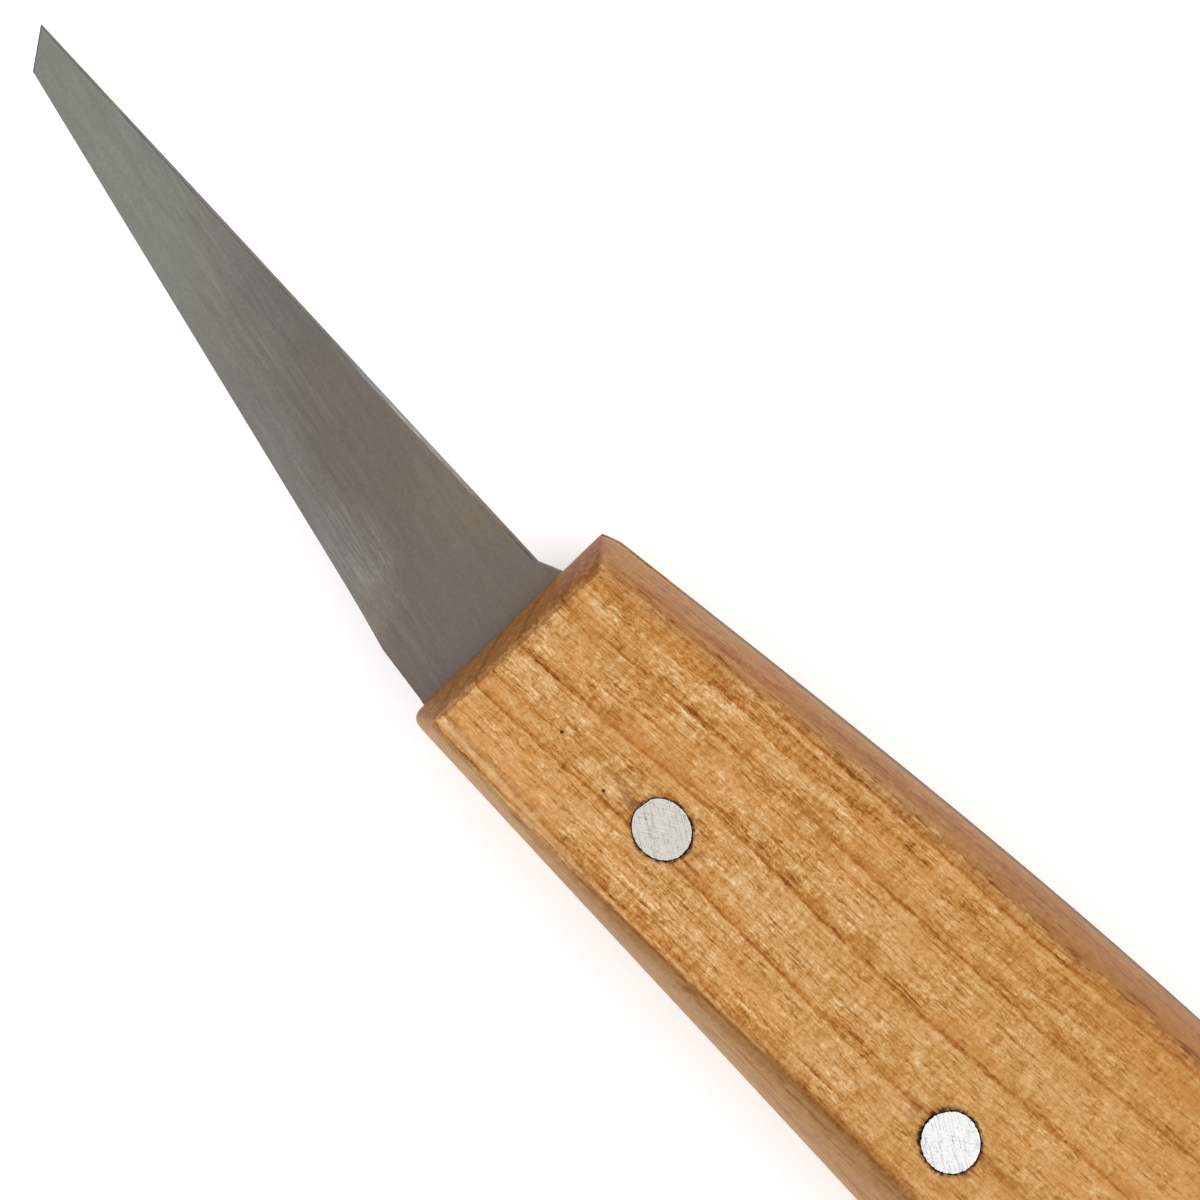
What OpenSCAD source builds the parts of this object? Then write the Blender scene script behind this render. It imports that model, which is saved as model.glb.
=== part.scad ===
// Wood carving knife: a ground steel blade with a full tang, two wooden scales and three solid rivets.
// Millimetres. The knife lies on its right scale, with the tip towards -X and the cutting edge towards -Y.

/* [Blade] */
// Length of the blade, from the front of the handle to the tip
blade_l = 50.5; // [40:0.5:60]
// Height of the spine above the belly of the handle
spine_h = 13.2; // [12.4:0.1:14]
// Length of the unsharpened heel, in front of the handle
heel_l = 4.1; // [2:0.1:7]
// Height of the cutting edge above the belly, where the heel ends
heel_h = 1.6; // [1:0.1:2.5]
// Height of the heel above the belly, at the front of the handle
heel_root_h = 1.2; // [0.5:0.1:2]
// Height of the cutting edge above the belly, at the tip
edge_tip_h = 10.6; // [8.5:0.1:11.5]
// How far the short end of the blade slopes back from the tip
tip_back = 1.9; // [0.5:0.1:4]
// Thickness of the steel
steel_t = 2.3; // [1.6:0.1:3.2]
// Thickness left along the cutting edge
edge_t = 0.1; // [0.06:0.02:0.3]
// Width of the bevel, carried back to the heel
bevel_w = 2.7; // [1.8:0.1:3.6]
// Distance from the handle at which the bevel reaches the spine
bevel_reach = 34; // [26:0.5:38]
// Length over which the bevel runs out towards the heel
plunge_l = 4; // [2:0.5:7]

/* [Tang] */
// Distance in front of the handle at which the spine starts to rise into the tang
step_l = 1.4; // [0.6:0.1:2.5]
// Angle at which the spine rises there
step_angle = 23; // [15:1:30]
// Length behind the front of the handle over which the neck widens to the full tang
neck_l = 6.5; // [5:0.5:10]

/* [Handle] */
// Length of the handle
handle_l = 105; // [98:1:120]
// Height of the handle at its front
front_h = 17.9; // [16.5:0.1:19]
// Angle of the back of the handle at its front
back_angle = 9; // [5:0.1:11]
// Greatest height of the handle
hump_h = 26.1; // [24:0.1:29]
// Distance from the front to the greatest height
hump_l = 75; // [70:1:82]
// Length of the straight belly
belly_l = 90; // [84:1:92]
// Height of the rearmost point of the butt above the belly
butt_h = 12.5; // [10:0.5:15]
// Thickness of each scale
scale_t = 6.5; // [5:0.1:9]
// How far the rounded side leans in, from the tang to the rim of the face
side_lean = 1.3; // [0.8:0.1:2.2]
// Width of the eased rim around the face
rim = 0.4; // [0.2:0.1:0.8]
// Rounding of the two front corners
front_r = 0.9; // [0.5:0.1:2]

/* [Rivets] */
// Diameter of the shank
rivet_d = 3.6; // [3:0.1:3.8]
// Diameter of the closed end, flush with the face
rivet_end_d = 4; // [4:0.1:5]
// Depth of the countersink that the closed end fills
rivet_end_t = 0.6; // [0.4:0.1:1.2]
// Distance from the front of the handle to the first rivet
rivet_setback = 17.2; // [14:0.1:20]
// Distance from one rivet to the next
rivet_pitch = 28; // [22:0.5:29]
// Height of the rivets above the belly
rivet_h = 7.8; // [7:0.1:10]
// Clearance around a rivet, on the radius
rivet_gap = 0.05; // [0.02:0.01:0.1]

/* [Hidden] */
$fn = 64;
rivet_count = 3;
// Middle of the steel, whole thickness of the handle, and place of its front
steel_z = scale_t + steel_t / 2;
handle_t = 2 * scale_t + steel_t;
front_x = -(rivet_setback + rivet_pitch / 2);
// How far a cutting solid runs past the surface that it cuts
over = 1;
// How far the face of the bevel runs past the cutting edge
bevel_over = 0.05;
// Width of the bevel at the very end of its run-out
bevel_end_w = 0.02;
// Steps along a rounded corner, a quarter of the butt, the back, the side of a scale and the bevel
corner_steps = 5;
butt_steps = 14;
back_steps = 16;
side_steps = 7;
bevel_steps = 10;

// Straight run from one value to another
function mix(from, to, share) = from + (to - from) * share;

// Corner between two points, rounded towards the third
function rounded(from, corner, to, steps) =
    [for (i = [0:steps]) let (t = i / steps)
        (1 - t) * (1 - t) * from + 2 * t * (1 - t) * corner + t * t * to];

// Height of the back of the handle, rising from the front to the hump
function back_h(x) =
    let (t = x / hump_l, rise = hump_l * tan(back_angle))
    front_h + rise * t * (1 - t) * (1 - t) + (hump_h - front_h) * t * t * (3 - 2 * t);

// Outline of the handle, drawn in by an inset; x from its front, y from its belly
function handle_outline(inset) =
    let (
        corner = inset + front_r,
        butt_l = handle_l - inset,
        top_h = hump_h - inset
    )
    concat(
        rounded([inset, corner], [inset, inset], [corner, inset], corner_steps),
        [for (i = [0:butt_steps]) let (turn = 90 * i / butt_steps)
            [mix(belly_l, butt_l, sin(turn)), mix(butt_h, inset, cos(turn))]],
        [for (i = [1:butt_steps]) let (turn = 90 * i / butt_steps)
            [mix(hump_l, butt_l, cos(turn)), mix(butt_h, top_h, sin(turn))]],
        [for (i = [1:back_steps - 1]) let (x = mix(hump_l, corner, i / back_steps))
            [x, back_h(x) - inset]],
        rounded(
            [corner, back_h(corner) - inset],
            [inset, back_h(inset) - inset],
            [inset, back_h(inset) - corner],
            corner_steps
        )
    );

// Outline of the whole steel piece: tang, neck, then spine, tip and cutting edge
function steel_outline() =
    concat(
        [[neck_l, 0]],
        [for (p = handle_outline(0)) if (p.x > neck_l) p],
        rounded(
            [neck_l, back_h(neck_l)],
            [neck_l / 2, spine_h + (neck_l / 2 + step_l) * tan(step_angle)],
            [-step_l, spine_h],
            corner_steps
        ),
        [
            [-blade_l, spine_h],
            [tip_back - blade_l, edge_tip_h],
            [-heel_l, heel_h],
            [0, heel_root_h]
        ]
    );

// Height of the cutting edge
function edge_h(x) = mix(heel_h, edge_tip_h, (-x - heel_l) / (blade_l - tip_back - heel_l));

// Height of the upper limit of the bevel
function grind_h(x) = mix(heel_h + bevel_w, spine_h, (-x - heel_l) / (bevel_reach - heel_l));

// Width of the bevel, running out in a round towards the heel
function bevel_width(x) =
    let (t = min((-x - heel_l) / plunge_l, 1))
    max((grind_h(x) - edge_h(x)) * sqrt(1 - (1 - t) * (1 - t)), bevel_end_w);

// One section of what is ground away above the bevel
function bevel_section(x) =
    let (
        width = bevel_width(x),
        slope = (steel_t - edge_t) / 2 / width,
        outer = edge_h(x) - bevel_over
    )
    [
        [x, outer, edge_t / 2 - bevel_over * slope],
        [x, outer, steel_t / 2 + over],
        [x, edge_h(x) + width + over / slope, steel_t / 2 + over]
    ];

// Solid skinned over a list of rings with equal numbers of points
module skin(rings) {
    count = len(rings[0]);
    last = (len(rings) - 1) * count;
    polyhedron(
        points = [for (ring = rings) each ring],
        faces = concat(
            [[for (i = [0:count - 1]) i]],
            [[for (i = [count - 1:-1:0]) last + i]],
            [for (start = [0:count:last - 1], i = [0:count - 1])
                [start + i, start + count + i, start + count + (i + 1) % count]],
            [for (start = [0:count:last - 1], i = [0:count - 1])
                [start + i, start + count + (i + 1) % count, start + (i + 1) % count]]
        ),
        convexity = 6
    );
}

// Moves a piece from the front of the belly to the origin under the rivet line
module at_origin() {
    translate([front_x, -rivet_h, 0]) children();
}

module bevel_cut() {
    run_out = [for (i = [0:bevel_steps - 1]) -heel_l - plunge_l * i / bevel_steps];
    rest = [for (i = [0:bevel_steps]) mix(-heel_l - plunge_l, -blade_l - over, i / bevel_steps)];
    skin([for (x = concat(run_out, rest)) bevel_section(x)]);
}

// Outside shape of one scale, standing on its inner face; a level is a height and the inset there
module scale_body() {
    rim_z = scale_t - rim;
    sides = [for (i = [1:side_steps]) let (t = i / side_steps) [rim_z * t, side_lean * t * t]];
    levels = concat([[-over, 0]], sides, [[scale_t + rim, side_lean + 2 * rim]]);
    intersection() {
        skin([for (level = levels) [for (p = handle_outline(level.y)) [p.x, p.y, level.x]]]);
        translate([-over, -over, 0])
            cube([handle_l + 2 * over, hump_h + 2 * over, scale_t]);
    }
}

// Moves a piece to the axis of one rivet, counted from the front
module at_rivet(index) {
    translate([rivet_setback + index * rivet_pitch, rivet_h, 0]) children();
}

// Hole in a scale for the shank, with the countersink for the closed end
module rivet_hole() {
    flare = (rivet_end_d - rivet_d) / 2 / rivet_end_t;
    shank_r = rivet_d / 2 + rivet_gap;
    rotate_extrude()
        polygon([
            [0, -over],
            [shank_r, -over],
            [shank_r, scale_t - rivet_end_t],
            [shank_r + (rivet_end_t + over) * flare, scale_t + over],
            [0, scale_t + over]
        ]);
}

module wood_scale() {
    color("#c2935c")
        difference() {
            scale_body();
            for (index = [0:rivet_count - 1]) at_rivet(index) rivet_hole();
        }
}

module blade() {
    color("#7d7a74")
        at_origin()
            translate([0, 0, steel_z])
                difference() {
                    linear_extrude(height = steel_t, center = true) polygon(steel_outline());
                    bevel_cut();
                    mirror([0, 0, 1]) bevel_cut();
                    for (index = [0:rivet_count - 1])
                        at_rivet(index)
                            cylinder(h = steel_t + 2 * over, d = rivet_d + 2 * rivet_gap, center = true);
                }
}

module left_scale() {
    at_origin() translate([0, 0, scale_t + steel_t]) wood_scale();
}

module right_scale() {
    at_origin() translate([0, 0, scale_t]) mirror([0, 0, 1]) wood_scale();
}

module rivet(index) {
    color("#d8d6d0")
        at_origin()
            at_rivet(index)
                rotate_extrude()
                    polygon([
                        [0, 0],
                        [rivet_end_d / 2, 0],
                        [rivet_d / 2, rivet_end_t],
                        [rivet_d / 2, handle_t - rivet_end_t],
                        [rivet_end_d / 2, handle_t],
                        [0, handle_t]
                    ]);
}

module front_rivet() {
    rivet(0);
}

module middle_rivet() {
    rivet(1);
}

module rear_rivet() {
    rivet(2);
}

blade();
left_scale();
right_scale();
front_rivet();
middle_rivet();
rear_rivet();
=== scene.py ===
import math

import bmesh
import bpy
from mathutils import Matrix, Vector


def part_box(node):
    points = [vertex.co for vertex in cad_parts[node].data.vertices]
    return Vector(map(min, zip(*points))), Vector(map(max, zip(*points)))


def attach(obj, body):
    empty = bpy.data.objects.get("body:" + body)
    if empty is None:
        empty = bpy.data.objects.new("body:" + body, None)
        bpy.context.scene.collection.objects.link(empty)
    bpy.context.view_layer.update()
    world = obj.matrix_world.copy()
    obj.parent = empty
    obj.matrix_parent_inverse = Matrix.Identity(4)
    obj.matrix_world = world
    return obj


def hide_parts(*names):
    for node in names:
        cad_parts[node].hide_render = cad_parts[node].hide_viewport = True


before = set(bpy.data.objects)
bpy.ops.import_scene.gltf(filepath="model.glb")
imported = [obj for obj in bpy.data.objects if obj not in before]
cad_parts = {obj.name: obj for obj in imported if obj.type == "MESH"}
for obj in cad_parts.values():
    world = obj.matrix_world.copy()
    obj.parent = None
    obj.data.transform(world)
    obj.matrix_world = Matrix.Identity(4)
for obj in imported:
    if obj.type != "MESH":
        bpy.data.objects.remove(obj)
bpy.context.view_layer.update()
mm = 0.001  # pieces are drawn in millimetres and brought to metres when they are closed
nearby = 0.01  # mm, counts as the same place


def boxInMm(node):
    low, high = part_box(node)
    return low / mm, high / mm


def blend(start, end, share):
    return start + (end - start) * share


# outline of the handle, in mm from its front and its belly; the rest comes from the CAD boxes
handle = {
    "frontHeight": 17.9,
    "backAngle": 9,  # degrees, at the front
    "humpFromFront": 75,
    "straightBelly": 90,
    "buttHeight": 12.5,
    "frontBack": (0.5, 0.15),  # how far the front edge stands back, at the belly and at the spine
    "bellyCorner": 0.9,
    "backCorner": (1.3, 0.35),  # along the back and down the front
    "bellyDraw": (0.9, 1.8),  # the face draws in along the belly, by these shares of the rim's inset
    "bellyDrawRange": (15, 48),
    "buttDraw": 1.6,
    "cornerSteps": 6,
    "bellySteps": 24,
    "buttSteps": 22,
    "backSteps": 24,
}

scaleLow, scaleHigh = boxInMm("left_scale")
steelLow, steelHigh = boxInMm("blade")
handleLength = scaleHigh.x - scaleLow.x
humpHeight = scaleHigh.y - scaleLow.y
scaleThickness = scaleHigh.z - scaleLow.z
steelThickness = steelHigh.z - steelLow.z
handleThickness = scaleThickness * 2 + steelThickness
bladeLength = scaleLow.x - steelLow.x
middleZ = (steelLow.z + steelHigh.z) / 2
backRise = handle["humpFromFront"] * math.tan(math.radians(handle["backAngle"]))
backClimb = humpHeight - handle["frontHeight"]


def place(along, height, z):
    return Vector((scaleLow.x + along, scaleLow.y + height, z))


def roundCorner(start, corner, end, steps):
    points = []
    for i in range(steps + 1):
        t = i / steps
        weights = ((1 - t) ** 2, 2 * t * (1 - t), t * t)
        points.append(tuple(sum(w * p[k] for w, p in zip(weights, (start, corner, end))) for k in (0, 1)))
    return points


def backHeight(along):  # also takes a shader value
    t = along / handle["humpFromFront"]
    return handle["frontHeight"] + backRise * t * (1 - t) ** 2 + backClimb * t * t * (3 - 2 * t)


def bellyDraw(along):
    start, end = handle["bellyDrawRange"]
    t = min(max((along - start) / (end - start), 0), 1)
    return blend(*handle["bellyDraw"], t * t * (3 - 2 * t))


def handleOutline(inset):  # the outline, drawn in by the inset; more than that along the rear belly
    steps = handle["cornerSteps"]
    low = inset * handle["bellyDraw"][0]
    bellyFront, backFront = (inset + back for back in handle["frontBack"])
    bellyStart = bellyFront + handle["bellyCorner"]
    start = (bellyFront, low + handle["bellyCorner"])
    points = roundCorner(start, (bellyFront, low), (bellyStart, low), steps)
    for i in range(1, handle["bellySteps"]):
        along = blend(bellyStart, handle["straightBelly"], i / handle["bellySteps"])
        points.append((along, inset * bellyDraw(along)))
    for i in range(handle["buttSteps"] + 1):
        turn = i / handle["buttSteps"]
        drawn = inset * blend(handle["bellyDraw"][1], handle["buttDraw"], turn)
        points.append((
            blend(handle["straightBelly"], handleLength - drawn, math.sin(math.pi / 2 * turn)),
            blend(handle["buttHeight"], drawn, math.cos(math.pi / 2 * turn)),
        ))
    for i in range(1, handle["buttSteps"] + 1):
        turn = i / handle["buttSteps"]
        drawn = inset * blend(handle["buttDraw"], 1, turn)
        points.append((
            blend(handle["humpFromFront"], handleLength - drawn, math.cos(math.pi / 2 * turn)),
            blend(handle["buttHeight"], humpHeight - drawn, math.sin(math.pi / 2 * turn)),
        ))
    cornerAlong, cornerDown = handle["backCorner"]
    backEnd = backFront + cornerAlong
    for i in range(1, handle["backSteps"]):
        along = blend(handle["humpFromFront"], backEnd, i / handle["backSteps"])
        points.append((along, backHeight(along) - inset))
    top = backHeight(backFront) - inset
    start = (backEnd, backHeight(backEnd) - inset)
    corner = (backFront + cornerAlong / 2, top)
    return points + roundCorner(start, corner, (backFront, top - cornerDown), steps)


def setMode(mode):
    bpy.ops.object.mode_set(mode=mode)


def chooseAll():
    bpy.ops.mesh.select_all(action="SELECT")


def startPiece(name):  # an empty mesh object at the origin, open in edit mode
    bpy.ops.object.select_all(action="DESELECT")
    bpy.ops.mesh.primitive_plane_add(size=1, location=(0, 0, 0))
    piece = bpy.context.object
    piece.name = name
    piece.data.name = name
    setMode("EDIT")
    bpy.ops.mesh.delete(type="VERT")
    return piece


def editMesh():
    mesh = bmesh.from_edit_mesh(bpy.context.object.data)
    mesh.verts.ensure_lookup_table()
    return mesh


def choose(picked, kind="VERT"):  # selects vertices, edges or faces by a test
    bpy.ops.mesh.select_mode(type=kind)
    bpy.ops.mesh.select_all(action="DESELECT")
    mesh = editMesh()
    for item in {"VERT": mesh.verts, "EDGE": mesh.edges, "FACE": mesh.faces}[kind]:
        item.select_set(picked(item))
    mesh.select_flush_mode()
    bmesh.update_edit_mesh(bpy.context.object.data)


def drawLoop(points):  # traces a closed outline, one extruded vertex after another
    bpy.ops.mesh.select_mode(type="VERT")
    bpy.ops.mesh.select_all(action="DESELECT")
    bpy.ops.mesh.primitive_plane_add(size=1, location=points[0])
    bpy.ops.mesh.merge(type="CENTER")
    for here, there in zip(points, points[1:]):
        bpy.ops.mesh.extrude_vertices_move(TRANSFORM_OT_translate={"value": there - here})
    count = len(editMesh().verts)
    choose(lambda vert: vert.index in (count - len(points), count - 1))
    bpy.ops.mesh.edge_face_add()


def drill(piece, spots, radius, shapes=None):  # starts and ends in edit mode
    chooseAll()
    bpy.ops.mesh.normals_make_consistent(inside=False)
    setMode("OBJECT")
    for i, spot in enumerate(spots):
        bpy.ops.object.select_all(action="DESELECT")
        size = {"radius": radius, "depth": handleThickness * 2}  # longer than the piece is thick
        bpy.ops.mesh.primitive_cylinder_add(vertices=rivet["sides"], location=spot, **size)
        bit = bpy.context.object
        if shapes:
            bpy.ops.object.transform_apply(location=True)
            hammer(spot, radius, shapes[i])
        bpy.context.view_layer.objects.active = piece
        cut = piece.modifiers.new("rivetHole", "BOOLEAN")
        cut.object = bit
        cut.solver = "EXACT"
        bpy.ops.object.modifier_apply(modifier=cut.name)
        bpy.data.objects.remove(bit)
    piece.select_set(True)
    setMode("EDIT")


def hammer(spot, radius, shape):  # knocks the active piece out of round, starts and ends in object mode
    setMode("EDIT")
    flatX = spot.x - radius * shape["flat"]
    choose(lambda vert: vert.co.x < flatX)
    bpy.ops.transform.resize(value=(0, 1, 1), center_override=(flatX, spot.y, spot.z))
    chooseAll()
    bpy.ops.transform.resize(value=(*shape["size"], 1), center_override=spot)
    turn = -math.radians(shape["turn"])  # this operator counts clockwise
    bpy.ops.transform.rotate(value=turn, orient_axis="Z", center_override=spot)
    setMode("OBJECT")


def closePiece(piece, smoothAngle):
    chooseAll()
    bpy.ops.mesh.normals_make_consistent(inside=False)
    bpy.ops.transform.resize(value=(mm, mm, mm), center_override=(0, 0, 0))
    setMode("OBJECT")
    bpy.ops.object.shade_smooth_by_angle(angle=math.radians(smoothAngle))
    return piece


def copyPiece(piece, name):  # a copy with its own mesh, open in edit mode
    bpy.ops.object.select_all(action="DESELECT")
    piece.select_set(True)
    bpy.context.view_layer.objects.active = piece
    bpy.ops.object.duplicate()
    copy = bpy.context.object
    copy.name = name
    copy.data.name = name
    setMode("EDIT")
    chooseAll()
    return copy


def fitOut(piece, material, node):
    piece.data.materials.clear()
    piece.data.materials.append(material)
    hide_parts(node)
    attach(piece, "root")


def nodeMaths(operation, swapped=False):  # makes one operation of the class below
    def work(self, other=0.0):
        inputs = {0: other, 1: self} if swapped else {0: self, 1: other}
        return self.graph.add("ShaderNodeMath", {"operation": operation}, inputs)

    return work


class Wire:  # a node's output, with arithmetic
    __add__ = nodeMaths("ADD")
    __radd__ = nodeMaths("ADD", swapped=True)
    __sub__ = nodeMaths("SUBTRACT")
    __rsub__ = nodeMaths("SUBTRACT", swapped=True)
    __mul__ = nodeMaths("MULTIPLY")
    __rmul__ = nodeMaths("MULTIPLY", swapped=True)
    __truediv__ = nodeMaths("DIVIDE")
    __pow__ = nodeMaths("POWER")
    __abs__ = nodeMaths("ABSOLUTE")
    fraction = nodeMaths("FRACT")
    least = nodeMaths("MINIMUM")

    def __init__(self, graph, socket):
        self.graph = graph
        self.socket = socket

    def __neg__(self):
        return self * -1.0

    def step(self, low, high):  # 0 under low, 1 over high, smooth between
        inputs = {"Value": self, "From Min": low, "From Max": high}
        return self.graph.add("ShaderNodeMapRange", {"interpolation_type": "SMOOTHSTEP"}, inputs)

    def under(self, low, high):  # 1 under low, 0 over high
        return 1 - self.step(low, high)

    def near(self, spot, full, none):  # 1 as far as full from the spot, 0 beyond none
        return abs(self - spot).under(full, none)


class Graph:  # the node tree of a material or the world
    def __init__(self, owner):
        self.owner = owner
        owner.use_nodes = True
        self.tree = owner.node_tree
        self.tree.nodes.clear()

    def node(self, kind, settings=None, inputs=None):
        node = self.tree.nodes.new(kind)
        for name, value in (settings or {}).items():
            if name == "stops":
                self.setStops(node.color_ramp.elements, value)
            else:
                setattr(node, name, value)
        for key, value in (inputs or {}).items():
            if isinstance(value, Wire):
                self.tree.links.new(value.socket, node.inputs[key])
            else:
                node.inputs[key].default_value = value
        return node

    def setStops(self, elements, stops):
        while len(elements) < len(stops):
            elements.new(1.0)
        for element, (position, tone) in zip(elements, stops):
            element.position = position
            element.color = tone

    def add(self, kind, settings=None, inputs=None, output=0):
        return Wire(self, self.node(kind, settings, inputs).outputs[output])

    def blend(self, share, first, second, mode="MIX"):
        settings = {"data_type": "RGBA", "blend_type": mode}
        return self.add("ShaderNodeMix", settings, {0: share, 6: first, 7: second}, output=2)

    def tint(self, tone, share, paint):  # lays a screen colour over a tone
        return self.blend(share, tone, colour(*paint))

    def ramp(self, value, tones):  # evenly spaced tones
        stops = [(i / (len(tones) - 1), colour(*tone)) for i, tone in enumerate(tones)]
        return self.add("ShaderNodeValToRGB", {"stops": stops}, {0: value})

    def vector(self, operation, first, second):
        return self.add("ShaderNodeVectorMath", {"operation": operation}, {0: first, 1: second})

    def inMm(self):
        return self.vector("MULTIPLY", self.add("ShaderNodeTexCoord", output="Object"), (1 / mm,) * 3)

    def turned(self, vector, degrees):  # so that x runs along a line at this angle
        inputs = {"Vector": vector, "Rotation": (0, 0, math.radians(-degrees))}
        return self.add("ShaderNodeMapping", {"vector_type": "POINT"}, inputs)

    def noise(self, vector, perMm, detail, rough=0.5, output=0):
        stretched = self.vector("MULTIPLY", vector, perMm)
        inputs = {"Vector": stretched, "Scale": 1.0, "Detail": detail, "Roughness": rough}
        return self.add("ShaderNodeTexNoise", None, inputs, output)

    def swings(self, vector, patterns):  # noises round zero, by name
        swings = {}
        for name, (degrees, *values) in patterns.items():
            swings[name] = self.noise(self.turned(vector, degrees), *values) - 0.5
        return swings

    def sway(self, vector, perMm, reach):  # shifts a pattern sideways by a slow noise
        drift = self.vector("SUBTRACT", self.noise(vector, perMm, 1.0, output="Color"), (0.5, 0.5, 0.5))
        return self.vector("ADD", vector, self.vector("MULTIPLY", drift, reach))

    def parts(self, vector):
        node = self.node("ShaderNodeSeparateXYZ", None, {0: vector})
        return [Wire(self, output) for output in node.outputs]

    def bump(self, height, strength, depth):
        inputs = {"Height": height, "Strength": strength, "Distance": depth * mm}
        return self.add("ShaderNodeBump", None, inputs)

    def finish(self, inputs):
        shader = self.node("ShaderNodeBsdfPrincipled", None, inputs)
        output = self.node("ShaderNodeOutputMaterial")
        self.tree.links.new(shader.outputs[0], output.inputs[0])
        return self.owner


def colour(red, green, blue):  # from screen values, 0 to 255, by the sRGB curve
    return tuple(((c / 255 + 0.055) / 1.055) ** 2.4 for c in (red, green, blue)) + (1.0,)


# wooden scales
scale = {
    "sideLean": 1.3,  # how far the side leans in up to the rim, mm
    "rimRound": 0.55,
    "seamEase": 0.08,  # eased edge against the steel
    "sideSteps": 8,
    "rimSteps": 6,
    "faceHold": 0.3,  # strip that keeps the face's shading flat
    "holeGap": 0.05,
    "smoothAngle": 35,  # degrees; sharper edges stay sharp
}


def leanAt(height):
    return scale["sideLean"] * (height / scaleThickness) ** 2


def scaleProfile():  # height over the steel and inset from the outline
    rimStart = scaleThickness - scale["rimRound"]
    profile = [(0, scale["seamEase"])]
    for i in range(scale["sideSteps"]):
        height = blend(scale["seamEase"], rimStart, i / scale["sideSteps"])
        profile.append((height, leanAt(height)))
    corner = (scaleThickness, leanAt(scaleThickness))
    faceEdge = (scaleThickness, corner[1] + scale["rimRound"])
    return profile + roundCorner((rimStart, leanAt(rimStart)), corner, faceEdge, scale["rimSteps"])


def makeLeftScale(rivetSpots, holeRadius):
    piece = startPiece("leftScaleWood")
    profile = scaleProfile()
    count = len(handleOutline(0))
    for level, (height, inset) in enumerate(profile):
        drawLoop([place(along, up, scaleLow.z + height) for along, up in handleOutline(inset)])
        if level:
            choose(lambda edge: min(v.index for v in edge.verts) >= (level - 1) * count, "EDGE")
            bpy.ops.mesh.bridge_edge_loops()
    for level in (0, len(profile) - 1):
        choose(lambda edge: all(v.index // count == level for v in edge.verts), "EDGE")
        bpy.ops.mesh.edge_face_add()
    choose(lambda face: face.calc_center_median().z > scaleHigh.z - nearby, "FACE")
    bpy.ops.mesh.inset(thickness=scale["faceHold"])
    drill(piece, rivetSpots, holeRadius, rivet["shapes"])
    print("left scale shaped and drilled")
    return closePiece(piece, scale["smoothAngle"])


def makeRightScale(left):
    piece = copyPiece(left, "rightScaleWood")
    bpy.ops.transform.resize(value=(1, 1, -1), center_override=(0, 0, middleZ * mm))
    bpy.ops.mesh.flip_normals()
    setMode("OBJECT")
    print("right scale mirrored")
    return piece


# blade and tang, in mm over the belly and from the handle
blade = {
    "spineHeight": 13.2,
    "heelLength": 4.1,
    "heelHeight": 1.6,
    "heelRootHeight": 1.2,
    "edgeTipHeight": 10.6,
    "tipBack": 1.9,
    "edgeThickness": 0.1,
    "bevelWidth": 2.7,
    "bevelReach": 34,
    "plungeLength": 5,
    "stepLength": 1.4,
    "stepAngle": 23,
    "neckLength": 6.5,
    "stations": 18,
    "stationSpread": 1.2,  # over 1 sets them closer near the heel
    "cutEnd": 1,  # no cut goes further into the handle
    "samePoint": 0.001,  # distance up to which two points are one above the other
    "grindSoft": 0.9,  # half width of the soft line between flat and bevel
    "spineEase": 0.1,
    "spineSteps": 2,
    "smoothAngle": 18,
}

tipSlope = blade["tipBack"] / (blade["spineHeight"] - blade["edgeTipHeight"])


def edgeHeight(along):
    run = bladeLength - blade["tipBack"] - blade["heelLength"]
    return blend(blade["heelHeight"], blade["edgeTipHeight"], (-along - blade["heelLength"]) / run)


def grindHeight(along):
    run = blade["bevelReach"] - blade["heelLength"]
    start = blade["heelHeight"] + blade["bevelWidth"]
    return blend(start, blade["spineHeight"], (-along - blade["heelLength"]) / run)


def thicknessShare(along, height):  # of the full steel, at one place on the blade
    runOut = min(max((-along - blade["heelLength"]) / blade["plungeLength"], 0), 1)
    thin = blend(1, blade["edgeThickness"] / steelThickness, math.sin(runOut * math.pi / 2))
    above = height - grindHeight(along)
    slope = (1 - thin) / (grindHeight(along) - edgeHeight(along))
    soft = blade["grindSoft"]
    if above >= soft:
        return 1
    if above <= -soft:
        return 1 + slope * above
    return 1 - slope * (soft - above) ** 2 / (4 * soft)


def steelOutline():
    neck = blade["neckLength"]
    points = [(neck, 0)]
    points += [point for point in handleOutline(0) if point[0] > neck]
    rise = (neck / 2 + blade["stepLength"]) * math.tan(math.radians(blade["stepAngle"]))
    control = (neck / 2, blade["spineHeight"] + rise)
    stepFoot = (-blade["stepLength"], blade["spineHeight"])
    points += roundCorner((neck, backHeight(neck)), control, stepFoot, handle["cornerSteps"])
    points += [
        (-bladeLength, blade["spineHeight"]),
        (blade["tipBack"] - bladeLength, blade["edgeTipHeight"]),
        (-blade["heelLength"], blade["heelHeight"]),
        (0, blade["heelRootHeight"]),
    ]
    return points


def cutBlade(point, normal):
    choose(lambda face: face.calc_center_median().x < scaleLow.x + blade["cutEnd"], "FACE")
    bpy.ops.mesh.bisect(plane_co=point, plane_no=normal)


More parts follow.
